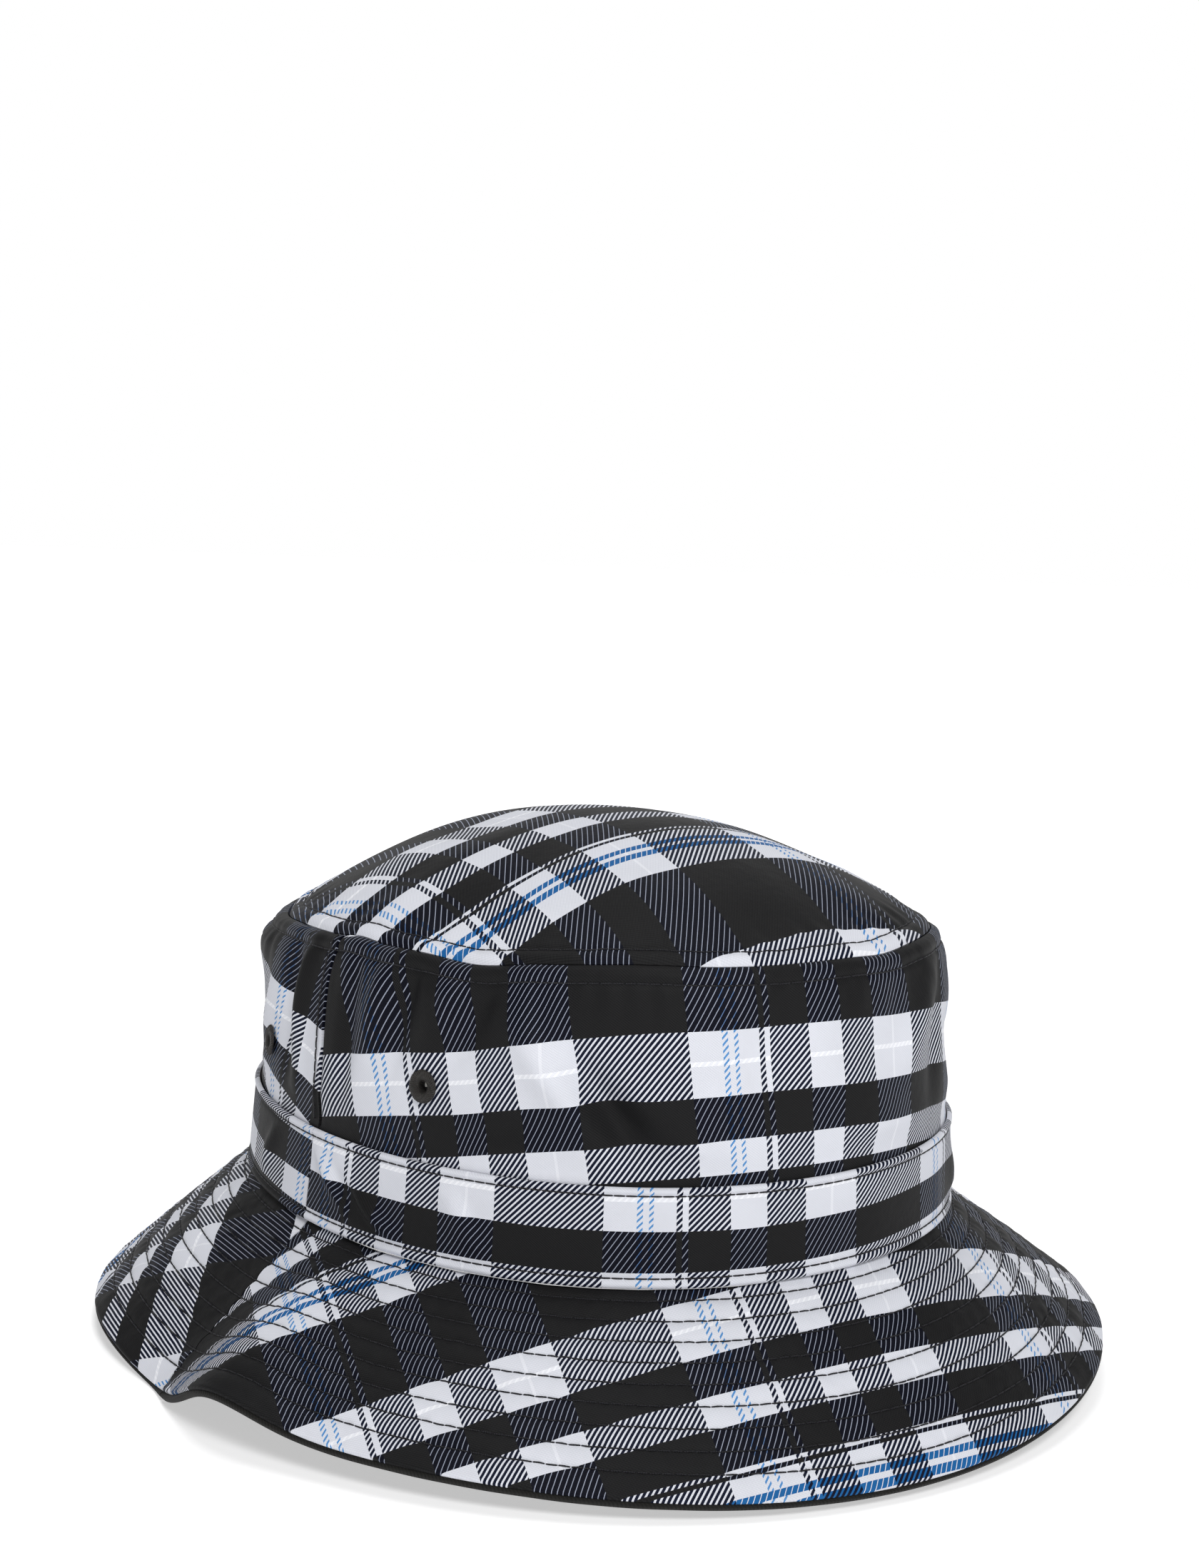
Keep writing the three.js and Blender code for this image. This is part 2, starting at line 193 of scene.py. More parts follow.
# ---- cloth relief ----

def ripple(turn, row, seed, turns_per, rows_per):
    """Smooth low waves with no regular repeat, between about -1 and 1."""
    rng = np.random.default_rng(seed)
    total = 0 * turn * row
    for _ in range(6):
        k = rng.integers(1, turns_per)
        phase, slant = rng.uniform(0, 2 * math.pi), rng.uniform(-rows_per, rows_per)
        total = total + np.sin(np.radians(turn) * k + slant * row + phase)
    return total / 3


# Soft folds in the side panels: turn and level of the middle, length and width in mm, tilt in degrees from
# level, and height (a valley is below 0).
WALL_FOLDS = (
    (-48, 1.50, 16, 4.6, -52, 1.6), (-42, 1.42, 17, 4.6, -48, -1.8), (-29, 1.22, 14, 5.5, -42, 1.1),
    (-37, 1.26, 12, 5.5, -45, -1.2), (-78, 1.74, 13, 3.2, 78, 1.1), (-73, 1.72, 13, 3.0, 82, -1.2),
    (-66, 1.80, 12, 3.6, 74, 1.0), (-60, 1.76, 12, 4.0, 66, -1.1), (-84, 1.55, 15, 2.6, 86, -0.9),
    (-55, 1.22, 16, 5.0, 12, -0.7), (-97, 1.60, 17, 2.6, 88, 1.1), (-102, 1.62, 17, 3.2, 92, -1.3),
    (-112, 1.45, 15, 5.0, 70, 0.8), (-14, 1.62, 15, 8.0, 62, -0.8), (4, 1.30, 16, 7.0, -35, 0.8),
    (20, 1.70, 15, 6.0, 55, 0.9), (27, 1.50, 14, 5.0, 70, -1.0), (44, 1.35, 16, 6.0, -30, -0.9),
    (66, 1.72, 13, 4.0, 80, -1.0), (74, 1.68, 13, 4.0, 84, 1.1), (104, 1.60, 15, 4.0, 86, 1.0),
    (112, 1.55, 15, 4.5, 80, -1.1), (134, 1.35, 16, 6.0, 35, 1.0), (158, 1.62, 15, 6.0, -50, -1.0),
    (178, 1.40, 18, 7.0, -20, 0.8), (-160, 1.65, 15, 6.0, 55, -1.0), (-146, 1.35, 16, 6.0, -35, 1.0),
    (-125, 1.86, 22, 9.0, 0, 1.5), (-125, 1.25, 20, 8.0, 0, -0.8),
)
FOLD_DEPTH = 2.05                # scales all the folds


def fold(turn, centre, up, length, width, tilt):
    """A long soft hill, 1 at its middle; up is the height in mm above the middle."""
    across = apart(turn, centre) * MM_PER_DEGREE
    c, s = math.cos(math.radians(tilt)), math.sin(math.radians(tilt))
    return hill(across * c + up * s, length) * hill(up * c - across * s, width)


def wall_folds(turn, level):
    total = 0 * turn
    for centre, middle, length, width, tilt, size in WALL_FOLDS:
        total = total + size * fold(turn, centre, (level - middle) * WALL_HEIGHT, length, width, tilt)
    return total * FOLD_DEPTH


def wall_relief(turn, level):
    """Outward relief of the side panels."""
    total = 0.3 * ripple(turn, level, 3, 14, 5) + wall_folds(turn, level)
    from_seam = (2 - level) * WALL_HEIGHT
    total = total * np.clip((level - 1.02) / 0.15, 0, 1) * np.clip(from_seam / 9 + 0.15, 0, 1)
    puff = 0.35 * hill(from_seam - WALL_STITCH / 2, 1.6)
    valley = -0.35 * hill(from_seam - WALL_STITCH, 0.8)
    roll = -0.45 * hill(from_seam, 0.8)
    pucker = 0.3 * hill(from_seam - WALL_STITCH - 4, 5) * ripple(turn, level, 41, 90, 9)
    return total + puff + valley + roll + pucker + side_seam_relief(turn, level)


def side_seam_relief(turn, level):
    """The side seams' groove and the stitched allowance behind it, for turns between -180 and 180.

    The back panel's turns run on to 270, so its right edge has neither of them.
    """
    behind = (np.abs(turn) - 90) * MM_PER_DEGREE
    groove = -0.6 * hill(behind, 0.7)
    ridge = 0.35 * hill(behind - SIDE_RIDGE, 1.0)
    return (groove + ridge) * (level > 1)


# Broad lumps of the top panel: turn, reach, spread in mm, height.
TOP_LUMPS = (
    (60, 0.62, 13, -0.5), (60, 0.80, 10, 0.6), (-100, 0.72, 14, 1.0), (-112, 0.42, 13, -1.0),
    (-70, 0.85, 9, -0.9), (-84, 0.86, 9, 0.8), (-30, 0.78, 12, 0.8), (-10, 0.86, 9, -0.7),
    (20, 0.80, 11, 0.9), (120, 0.75, 14, -1.2), (165, 0.70, 15, 1.0), (-150, 0.75, 14, -1.0),
    (0, 0.30, 18, 0.6),
)


def top_place(turn, reach):
    a = np.radians(turn)
    return TOP_HALF_WIDTH * reach * np.sin(a), TOP_HALF_LENGTH * reach * np.cos(a)


def top_relief(turn, reach):
    """Upward relief of the top panel."""
    from_seam = (1 - reach) * TOP_RADIUS
    x, y = top_place(turn, reach)
    low = 0.3 * ripple(turn, reach * 3, 8, 6, 2) * reach ** 2
    for centre, middle, spread, size in TOP_LUMPS:
        x0, y0 = top_place(centre, middle)
        low = low + size * hill(np.hypot(x - x0, y - y0), spread)
    low = low * np.clip(from_seam / 10 + 0.1, 0, 1)
    puff = 0.4 * hill(from_seam - TOP_STITCH / 2, 1.4)
    pucker = 0.25 * hill(from_seam - TOP_STITCH - 3, 4) * ripple(turn, reach, 43, 80, 9)
    return low + puff + pucker - 0.35 * hill(from_seam - TOP_STITCH, 0.8) - 0.4 * hill(from_seam, 0.7)


# Folds in the band: turn, height in mm above its foot, length, width, tilt, height.
BAND_FOLDS = (
    (-60, 12, 9, 3.5, -55, 0.9), (-55, 11, 9, 3.5, -50, -0.9), (-80, 10, 10, 2.2, -40, -1.5),
    (-84, 13, 9, 2.2, -45, 1.3), (-75, 8, 10, 2.2, -32, 1.3), (-20, 11, 10, 6, 30, 0.5),
    (14, 12, 10, 5, 60, -0.6),
    (38, 10, 10, 5, -50, 0.7), (76, 11, 9, 3, 60, 0.9), (82, 12, 9, 3, 65, -0.9), (100, 11, 9, 3, -60, 0.8),
    (128, 12, 10, 5, 40, -0.7), (160, 11, 10, 5, -40, 0.7), (-165, 12, 10, 5, 50, -0.6),
    (-138, 11, 10, 5, -45, 0.7),
    (-104, 12, 9, 3, 60, 0.8),
)


def band_relief(turn, height):
    """Outward relief of the band; height is in mm above its foot."""
    foot, head = BAND_STITCH
    total = -0.35 * hill(height - foot, 0.7) - 0.35 * hill(BAND_HEIGHT - height - head, 0.7)
    total = total + 0.4 * hill(height - foot / 2, 0.9) + 0.4 * hill(BAND_HEIGHT - height - head / 2, 0.8)
    inner = np.clip(np.minimum(height - foot, BAND_HEIGHT - height - head) / 4, 0, 1)
    folds = 0.25 * ripple(turn, height / 12, 21, 22, 1)
    for centre, middle, length, width, tilt, size in BAND_FOLDS:
        folds = folds + FOLD_DEPTH * size * fold(turn, centre, height - middle, length, width, tilt)
    proud = (folds + np.sqrt(folds ** 2 + 0.2)) / 2 - 0.25       # the side panel behind stops inward folds
    return total + inner * proud


def quilt_relief(turn, along):
    """Upward relief of the quilted brim: a valley at each row of stitches and a soft puff between them."""
    total = 0.12 * ripple(turn, along / 9, 33, 60, 3)
    for row in QUILTING:
        pucker = 1 + 0.35 * np.sin(np.radians(turn) * 190 + row)
        total = total - 0.27 * hill(along - row, 0.75) * pucker
    pitch = QUILTING[1] - QUILTING[0]
    phase = (along - QUILTING[0]) / pitch
    inside = np.clip(along / 2, 0, 1) * np.clip((BRIM_WIDTH - along) / 3, 0, 1)
    crumple = 0.12 * np.sin(np.radians(turn) * 97 + 2.3 * np.floor(phase)) * ripple(turn, along / 5, 9, 40, 4)
    return total + inside * (0.09 - 0.09 * np.cos(2 * math.pi * phase) + crumple)


# ---- how the printed cloth lies on each panel ----

def arc_lengths(surface, row):
    turns = np.linspace(-180, 180, 3601)
    points = surface(turns, np.full(turns.shape, float(row)))
    steps = np.linalg.norm(np.diff(points, axis=0), axis=1)
    lengths = np.concatenate([[0], np.cumsum(steps)])
    return turns, lengths - np.interp(0, turns, lengths)


CROWN_ARC = arc_lengths(crown_surface, 1.5)
BRIM_ARC = arc_lengths(brim_surface, 0.0)


def from_middle(turn, arc, half):
    """Arc length from the middle of the front or the back panel."""
    turns, lengths = arc
    signed = apart(turn, 0)
    along = np.interp(signed, turns, lengths)
    if half == "back":
        along = np.where(signed < 0, along - lengths[0], along - lengths[-1])
    return along


# Each panel is cut from straight cloth. "at" is the print at the panel's own origin, "turn" and "skew" how
# far its lines are off square in degrees, "stretch" how much of the print a length takes up, "bow" the lines'
# curve, and "radius" the radius that the panel is cut to.
CUTS = {
    "wall_front": dict(at=(41.4, 51.0), turn=1.7, skew=-4.7, stretch=1.008, bow=(-0.23, 0.23), radius=608),
    "wall_back": dict(at=(72.8, 41.5), turn=0.1, skew=-0.9, stretch=1.0, bow=(0.0, 0.07), radius=571),
    "band_front": dict(at=(60.7, 32.8), turn=-0.8, skew=-2.6, stretch=1.03, bow=(-0.26, -0.05), radius=None),
    "band_back": dict(at=(47.9, 21.3), turn=1.6, skew=0.8, stretch=1.0, bow=(-0.04, 0.05), radius=None),
    "brim_front": dict(at=(48.6, 58.6), turn=2.7, skew=4.2, stretch=1.002, bow=(-0.05, -0.53), radius=111.9),
    "brim_back": dict(at=(26.7, 36.6), turn=-4.1, skew=4.9, stretch=0.98, bow=(-1.15, -0.22), radius=150),
    "top": dict(at=(75.5, 44.0), turn=-1.2, skew=0.3, stretch=1.107, bow=(1.81, -1.02), radius=None),
}
TOP_PRINT_SCALE = 0.842          # the top panel's cloth is stretched over the dome
WALL_CLOTH, BAND_CLOTH = 48, 24  # height of the side panels' print and of the band's
# Beside the right seam the front panel's print is shifted, by up to PULL mm, and back a little at a ripple.
PULL, PULL_START, PULL_SPREAD = 4.4, -70, 19
RIPPLE, RIPPLE_TURN, RIPPLE_SPREAD = 0.8, -65, 6


def print_place(cut, across, up):
    """Print coordinates, in mm of cloth, of places on a panel."""
    if cut["radius"]:
        swing = across / cut["radius"]
        reach = cut["radius"] + up
        across, up = reach * np.sin(swing), cut["radius"] - reach * np.cos(swing)
    a, b = math.radians(cut["turn"]), math.radians(cut["turn"] + cut["skew"])
    bow_u, bow_v = cut["bow"]
    u = cut["at"][0] + across * math.cos(a) * cut["stretch"] - up * math.sin(b) + bow_u * up ** 2 / 1000
    v = cut["at"][1] + across * math.sin(a) + up * math.cos(b) + bow_v * across ** 2 / 1000
    return np.stack([u, v], -1)


def wall_print(turn, level, half):
    across = from_middle(turn, CROWN_ARC, half)
    if half == "front":
        across = across + PULL * np.clip((PULL_START - turn) / PULL_SPREAD, 0, 1) ** 1.3
        across = across - RIPPLE * hill(turn - RIPPLE_TURN, RIPPLE_SPREAD)
    return print_place(CUTS["wall_" + half], across, (1.5 - level) * WALL_CLOTH)


def band_print(turn, level, half):
    return print_place(CUTS["band_" + half], from_middle(turn, CROWN_ARC, half), level * BAND_CLOTH)


def brim_print(turn, along, half):
    return print_place(CUTS["brim_" + half], from_middle(turn, BRIM_ARC, half), along)


def top_print(turn, reach):
    edge = oval(CROWN_SEAM, turn)
    x, y = edge[..., 0] * reach, edge[..., 1] * reach
    return print_place(CUTS["top"], x * TOP_PRINT_SCALE, y * TOP_PRINT_SCALE)


# ---- materials ----

def srgb(red, green, blue):
    """Linear colour from 0-255 display values."""
    def linear(value):
        value /= 255
        return value / 12.92 if value <= 0.04045 else ((value + 0.055) / 1.055) ** 2.4
    return (linear(red), linear(green), linear(blue), 1.0)


class Graph:
    """Short calls for building the nodes of a material or a world."""

    def __init__(self, owner):
        owner.use_nodes = True
        self.tree = owner.node_tree

    def node(self, kind, **settings):
        made = self.tree.nodes.new("ShaderNode" + kind)
        for name, value in settings.items():
            setattr(made, name, value)
        return made

    def link(self, value, socket):
        if isinstance(value, bpy.types.NodeSocket):
            self.tree.links.new(value, socket)
        else:
            socket.default_value = value

    def math(self, operation, *values):
        node = self.node("Math", operation=operation)
        for socket, value in zip(node.inputs, values):
            self.link(value, socket)
        return node.outputs[0]

    def add(self, first, second):
        return self.math("ADD", first, second)

    def times(self, first, second):
        return self.math("MULTIPLY", first, second)

    def cycle(self, value, period):
        """How far a value is through its repeat, from 0 to 1."""
        return self.math("FRACT", self.math("DIVIDE", value, period))

    def map_range(self, value, start, end, low, high):
        """A value between start and end, carried over to the range from low to high."""
        node = self.node("MapRange")
        for name, setting in (("Value", value), ("From Min", start), ("From Max", end), ("To Min", low),
                              ("To Max", high)):
            self.link(setting, node.inputs[name])
        return node.outputs["Result"]

    def mix(self, share, first, second, blend="MIX"):
        node = self.node("Mix", data_type="RGBA", blend_type=blend)
        for socket, value in ((0, share), (6, first), (7, second)):
            self.link(value, node.inputs[socket])
        return node.outputs[2]

    def place(self):
        """The cloth's own coordinates, in mm."""
        uv = self.node("UVMap", uv_map="print")
        split = self.node("SeparateXYZ")
        self.link(uv.outputs[0], split.inputs[0])
        return split.outputs[0], split.outputs[1], uv.outputs[0]

    def noise(self, vector, scale, detail=3.0):
        node = self.node("TexNoise")
        for name, value in (("Vector", vector), ("Scale", scale), ("Detail", detail)):
            self.link(value, node.inputs[name])
        return node.outputs["Fac"]

    def stripes(self, place, stops, period):
        """Red, green and blue flags that change at the given places in a repeat."""
        node = self.node("ValToRGB")
        ramp = node.color_ramp
        ramp.interpolation = "CONSTANT"
        for k, (start, flags) in enumerate(stops):
            element = ramp.elements[k] if k < 2 else ramp.elements.new(start / period)
            element.position = start / period
            element.color = (*flags, 1)
        self.link(self.cycle(place, period), node.inputs[0])
        split = self.node("SeparateColor")
        self.link(node.outputs[0], split.inputs[0])
        return split.outputs[0], split.outputs[1], split.outputs[2]

    def bump(self, height, distance, strength=1.0, under=None):
        node = self.node("Bump")
        for name, value in (("Height", height), ("Distance", distance * MM), ("Strength", strength)):
            self.link(value, node.inputs[name])
        if under:
            self.link(under, node.inputs["Normal"])
        return node.outputs[0]


class MaterialGraph(Graph):
    def __init__(self, name, roughness, specular=0.3, sheen=0.0):
        self.material = bpy.data.materials.new(name)
        super().__init__(self.material)
        self.shader = self.tree.nodes["Principled BSDF"].inputs
        for setting, value in (("Roughness", roughness), ("Specular IOR Level", specular),
                               ("Sheen Weight", sheen), ("Sheen Roughness", 0.4)):
            self.shader[setting].default_value = value

    def finish(self, colour, normal=None):
        self.link(colour, self.shader["Base Color"])
        if normal:
            self.link(normal, self.shader["Normal"])
        return self.material


TWILL_PITCH = 0.30               # mm between the ribs of the weave


def twill(graph, u, v, pitch=TWILL_PITCH):
    """Height of the weave, about 0 to 1: steep ribs, broken up along their length by the crossing yarns."""
    across = graph.add(graph.times(u, 0.82), graph.times(v, -0.57))
    along = graph.add(graph.times(u, 0.57), graph.times(v, 0.82))
    rib = graph.math("SINE", graph.times(across, 2 * math.pi / pitch))
    shift = graph.times(graph.math("FLOOR", graph.math("DIVIDE", across, pitch)), 0.5)
    yarn = graph.math("SINE", graph.times(graph.add(along, shift), 2 * math.pi / (pitch * 1.6)))
    both = graph.math("MULTIPLY_ADD", rib, 0.36, graph.times(yarn, 0.14))
    return graph.add(both, 0.5)


# The print's repeat, in mm: where each stripe starts, and its flags (white, blue line, bright line).
WARP_PERIOD, WEFT_PERIOD = 89.6, 89.2
WHITE, BLUE, BRIGHT, DARK = (1, 0, 0), (1, 1, 0), (1, 0, 1), (0, 0, 0)
WARP_STRIPES = (
    (0, WHITE), (7.6, BLUE), (8.9, WHITE), (10.2, BLUE), (11.5, WHITE), (16.7, DARK), (17.9, WHITE),
    (19.6, DARK), (29.3, WHITE), (38.0, DARK), (48.0, WHITE), (55.0, BRIGHT), (56.0, WHITE), (62.8, DARK),
)
WEFT_STRIPES = (
    (0, WHITE), (7.6, BLUE), (9.5, WHITE), (10.9, BLUE), (12.8, WHITE), (17.1, DARK), (18.3, WHITE),
    (19.5, DARK), (29.3, WHITE), (37.2, DARK), (46.8, WHITE), (53.8, BRIGHT), (54.8, WHITE), (61.6, DARK),
)
HATCH = 1.5                      # mm between the print's diagonal lines, along the cloth
HATCH_SHARE = 0.41               # of the hatching that is white
FINE_SLANT = 0.7                 # how much steeper the fine lines of the dark rows run
FINE_SHARE = 0.15                # of the dark rows that is fine lines


def plaid_material(name, faded):
    """The yarn-dyed plaid; faded is how far the colours are bleached out, as on the cloth's reverse."""
    graph = MaterialGraph(name, roughness=0.55, specular=0.07)
    u, v, vector = graph.place()
    warp, warp_blue, warp_bright = graph.stripes(u, WARP_STRIPES, WARP_PERIOD)
    weft, weft_blue, weft_bright = graph.stripes(v, WEFT_STRIPES, WEFT_PERIOD)
    weave = twill(graph, u, v)
    half = graph.math("LESS_THAN", graph.cycle(graph.math("SUBTRACT", u, v), HATCH), HATCH_SHARE)
    steep = graph.math("SUBTRACT", u, graph.times(v, FINE_SLANT))
    fine = graph.math("LESS_THAN", graph.cycle(steep, HATCH), FINE_SHARE)
    white = graph.mix(weave, srgb(203, 205, 214), srgb(232, 234, 241))
    bright = srgb(246, 247, 252)
    navy = graph.mix(weave, srgb(10, 14, 30), srgb(24, 29, 50))
    deep_navy = graph.mix(weave, srgb(8, 9, 17), srgb(19, 21, 34))
    black = graph.mix(weave, srgb(8, 8, 9), srgb(43, 43, 44))
    warp_blue_ink, weft_blue_ink = srgb(84, 142, 200), srgb(34, 98, 158)
    line = graph.math("MAXIMUM", graph.times(warp_bright, 0.35),
                      graph.times(weft_bright, graph.math("MULTIPLY_ADD", half, 0.4, 0.5)))
    light = graph.mix(line, white, bright)
    light = graph.mix(graph.times(warp_blue, half), light, warp_blue_ink)
    ticks = graph.times(weft_blue, graph.math("SUBTRACT", 1.0, fine))
    light = graph.mix(ticks, light, weft_blue_ink)
    row_ink = graph.mix(weft_blue, white, weft_blue_ink)
    hatched = graph.mix(half, navy, row_ink)
    thin_ink = graph.mix(warp_blue, srgb(150, 156, 172), srgb(90, 116, 156))
    thin = graph.mix(fine, deep_navy, thin_ink)
    dark = graph.mix(warp, black, thin)
    pale = graph.mix(warp, hatched, light)
    colour = graph.mix(weft, dark, pale)
    patchy = graph.math("MULTIPLY_ADD", graph.noise(vector, 0.06), 0.16, 0.92)
    shade = graph.node("CombineColor")
    for socket in shade.inputs[:3]:
        graph.link(patchy, socket)
    colour = graph.mix(1.0, colour, shade.outputs[0], "MULTIPLY")
    if faded:
        colour = graph.mix(faded, colour, srgb(196, 196, 200))
    soft = graph.bump(graph.noise(vector, 0.35, 4.0), 0.25, 0.6)
    return graph.finish(colour, graph.bump(weave, 0.05, 0.5, soft))


def twill_material(name, colour, rib_colour, pitch, relief=0.1):
    """Plain twill; the third argument is the lighter colour, mixed in where its ribs stand highest and in
    random patches.
    """
    graph = MaterialGraph(name, roughness=0.8, specular=0.2, sheen=0.03)
    u, v, vector = graph.place()
    weave = twill(graph, u, v, pitch)
    share = graph.math("MULTIPLY_ADD", weave, 0.6, graph.times(graph.noise(vector, 0.2), 0.4))
    return graph.finish(graph.mix(share, colour, rib_colour), graph.bump(weave, relief, 0.8))


def thread_material(name, colour, light):
    """Two-ply thread: slanting plies along its length."""
    graph = MaterialGraph(name, roughness=0.55, specular=0.4)
    u, v, vector = graph.place()
    ply = graph.math("SINE", graph.times(graph.add(u, graph.times(v, 0.5)), 12.0))
    share = graph.math("MULTIPLY_ADD", ply, 0.3, graph.times(graph.noise(vector, 1.5), 0.5))
    return graph.finish(graph.mix(share, colour, light), graph.bump(ply, 0.05))


def foam_material():
    graph = MaterialGraph("foam interlining", roughness=0.9)
    cells = graph.noise(graph.node("TexCoord").outputs["Object"], 900)
    return graph.finish(graph.mix(cells, srgb(196, 190, 176), srgb(224, 220, 208)), graph.bump(cells, 0.2))


PLAID = plaid_material("plaid twill", 0.0)
LINING = plaid_material("plaid twill reverse", 0.8)
UNDER = twill_material("underbrim twill", srgb(15, 15, 14), srgb(38, 37, 35), pitch=0.5)
SWEAT = twill_material("sweatband twill", srgb(20, 20, 22), srgb(42, 42, 46), pitch=0.5)
TAPE = twill_material("seam tape", srgb(18, 18, 20), srgb(36, 36, 40), pitch=0.8, relief=0.15)
LABEL = twill_material("blank label", srgb(214, 211, 204), srgb(232, 230, 224), pitch=0.3)
THREAD = thread_material("sewing thread", srgb(12, 12, 16), srgb(36, 36, 44))
EYELET = thread_material("eyelet thread", srgb(26, 24, 23), srgb(62, 58, 54))


# ---- mesh building ----

def add_object(name, data):
    thing = bpy.data.objects.new(name, data)
    bpy.context.scene.collection.objects.link(thing)
    return thing


def mesh_object(name, points, faces, materials, uv=None, face_material=None, sharp=50):
    mesh = bpy.data.meshes.new(name)
    placed = points + SEAT
    placed[:, 2] = np.maximum(placed[:, 2], REST)
    mesh.from_pydata(placed * MM, [], faces)
    for material in materials:
        mesh.materials.append(material)
    if face_material is not None:
        mesh.polygons.foreach_set("material_index", np.asarray(face_material, np.int32))
    if uv is not None:
        corners = np.empty(len(mesh.loops), np.int32)
        mesh.loops.foreach_get("vertex_index", corners)
        layer = mesh.uv_layers.new(name="print")
        layer.data.foreach_set("uv", uv[corners].astype(np.float32).ravel())
    mesh.polygons.foreach_set("use_smooth", np.ones(len(mesh.polygons), bool))
    mesh.set_sharp_from_angle(angle=math.radians(sharp))
    mesh.validate()
    return add_object(name, mesh)


def sheet(name, outer, inner, uv, materials, closed=False, keep=None):
    """A cloth sheet between two grids of points [row, turn], closed along every free edge.

    The first material is for the outer grid's face and the second for the inner one's. keep marks the cells
    that are cloth, so a hole can be left out.
    """
    rows, turns = outer.shape[:2]
    count = rows * turns
    number = np.arange(count).reshape(rows, turns)
    wrap = np.roll(number, -1, 1) if closed else number[:, 1:]
    base = number if closed else number[:, :-1]
    cells = np.stack([base[:-1], wrap[:-1], wrap[1:], base[1:]], -1)
    if keep is not None:
        cells = cells[keep]
    cells = cells.reshape(-1, 4)
    flat_out, flat_in = outer.reshape(-1, 3), inner.reshape(-1, 3)
    middle = cells[len(cells) // 2]
    a, b, d = flat_out[middle[0]], flat_out[middle[1]], flat_out[middle[3]]
    if np.dot(np.cross(b - a, d - a), flat_out[middle[0]] - flat_in[middle[0]]) < 0:
        cells = cells[:, ::-1]
    edges = np.stack([cells, np.roll(cells, -1, 1)], -1).reshape(-1, 2)
    codes = edges[:, 0].astype(np.int64) * count + edges[:, 1]
    back = edges[:, 1].astype(np.int64) * count + edges[:, 0]
    free = edges[~np.isin(codes, back)]
    rim = np.stack([free[:, 1], free[:, 0], free[:, 0] + count, free[:, 1] + count], -1)
    faces = np.concatenate([cells, cells[:, ::-1] + count, rim])
    kinds = np.concatenate([np.zeros(len(cells)), np.ones(len(cells)), np.zeros(len(rim))])
    points = np.concatenate([flat_out, flat_in])
    places = np.concatenate([uv.reshape(-1, 2)] * 2)
    used = np.zeros(len(points), bool)
    used[faces.ravel()] = True
    renumber = np.cumsum(used) - 1
    return mesh_object(name, points[used], renumber[faces].tolist(), materials, places[used], kinds)


def laid_sheet(name, surface, turn, row, depths, uv, materials, closed=False):
    """A cloth sheet between two depths below a surface."""
    outer, inner = (lay(surface, turn, row, depth) for depth in depths)
    return sheet(name, outer, inner, uv, materials, closed)


def merge_middle(thing):
    """Joins the points that meet at the middle of a round panel."""
    work = bmesh.new()
    work.from_mesh(thing.data)
    bmesh.ops.remove_doubles(work, verts=work.verts, dist=0.002 * MM)
    bmesh.ops.delete(work, geom=[edge for edge in work.edges if not edge.link_faces], context="EDGES")
    work.to_mesh(thing.data)
    work.free()


def finished(thing, slot, *nodes):
    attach(thing, "root")
    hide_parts(*nodes)


HALF_TURNS = {"front": (-90 + SEAM_GAP, 90 - SEAM_GAP), "back": (90 + SEAM_GAP, 270 - SEAM_GAP)}


def round_edge(distance, radius, size):
    """Extra depth that rounds an edge over: size at the edge, none beyond the radius."""
    x = np.clip(1 - distance / radius, 0, 1)
    return size * (1 - np.sqrt(1 - x * x * 0.999))


# ---- crown ----

def eyelet_centres():
    """The turn and the level of each eyelet."""
    (front, high), (back, low) = EYELET_PLACES["front"], EYELET_PLACES["back"]
    return {
        "front_right": (-90 + front, high), "back_right": (-90 - back, low),
        "front_left": (90 - front, high), "back_left": (90 + back, low),
    }


def wall_depth(turn, level):
    return tuck(level) - wall_relief(turn, level)


def half_grid(half, count, rows):
    return np.meshgrid(np.linspace(*HALF_TURNS[half], count), rows)


def side_panel(half):
    rows = np.concatenate([[0.02, 0.4, 0.8], np.linspace(1.0, 1.85, 52), np.linspace(1.86, 1.998, 18)])
    turn, level = half_grid(half, 361, rows)
    depth = wall_depth(turn, level)
    outer = lay(crown_surface, turn, level, depth)
    inner = lay(crown_surface, turn, level, depth + CLOTH)
    middles = (outer[:-1, :-1] + outer[1:, 1:]) / 2
    keep = np.ones(middles.shape[:2], bool)
    for centre, height in eyelet_centres().values():
        hole = crown_surface(np.array(centre), np.array(height))
        keep &= np.linalg.norm(middles - hole, axis=-1) > EYELET_HOLE
    thing = sheet(f"side_panel_{half}_cloth", outer, inner, wall_print(turn, level, half), [PLAID, LINING],
                  keep=keep)
    finished(thing, "plaid_cloth", f"side_panel_{half}")


def top_panel():
    turns = np.linspace(-180, 180, 360, endpoint=False)
    rows = np.concatenate([np.linspace(0, 0.9, 60), np.linspace(0.905, 1, 22)])
    turn, reach = np.meshgrid(turns, rows)
    depth = -top_relief(turn, reach)
    outer = lay(top_surface, turn, reach, depth)
    inner = lay(top_surface, turn, reach, depth + CLOTH)
    outer[0], inner[0] = outer[0].mean(0), inner[0].mean(0)
    thing = sheet("top_panel_cloth", outer, inner, top_print(turn, reach), [PLAID, LINING], closed=True)
    merge_middle(thing)
    finished(thing, "plaid_cloth", "top_panel")


def from_band_edge(level):
    return np.minimum(level, 1 - level) * BAND_HEIGHT


def band_depth(turn, level):
    return round_edge(from_band_edge(level), 0.9, 0.75) - band_relief(turn, level * BAND_HEIGHT)


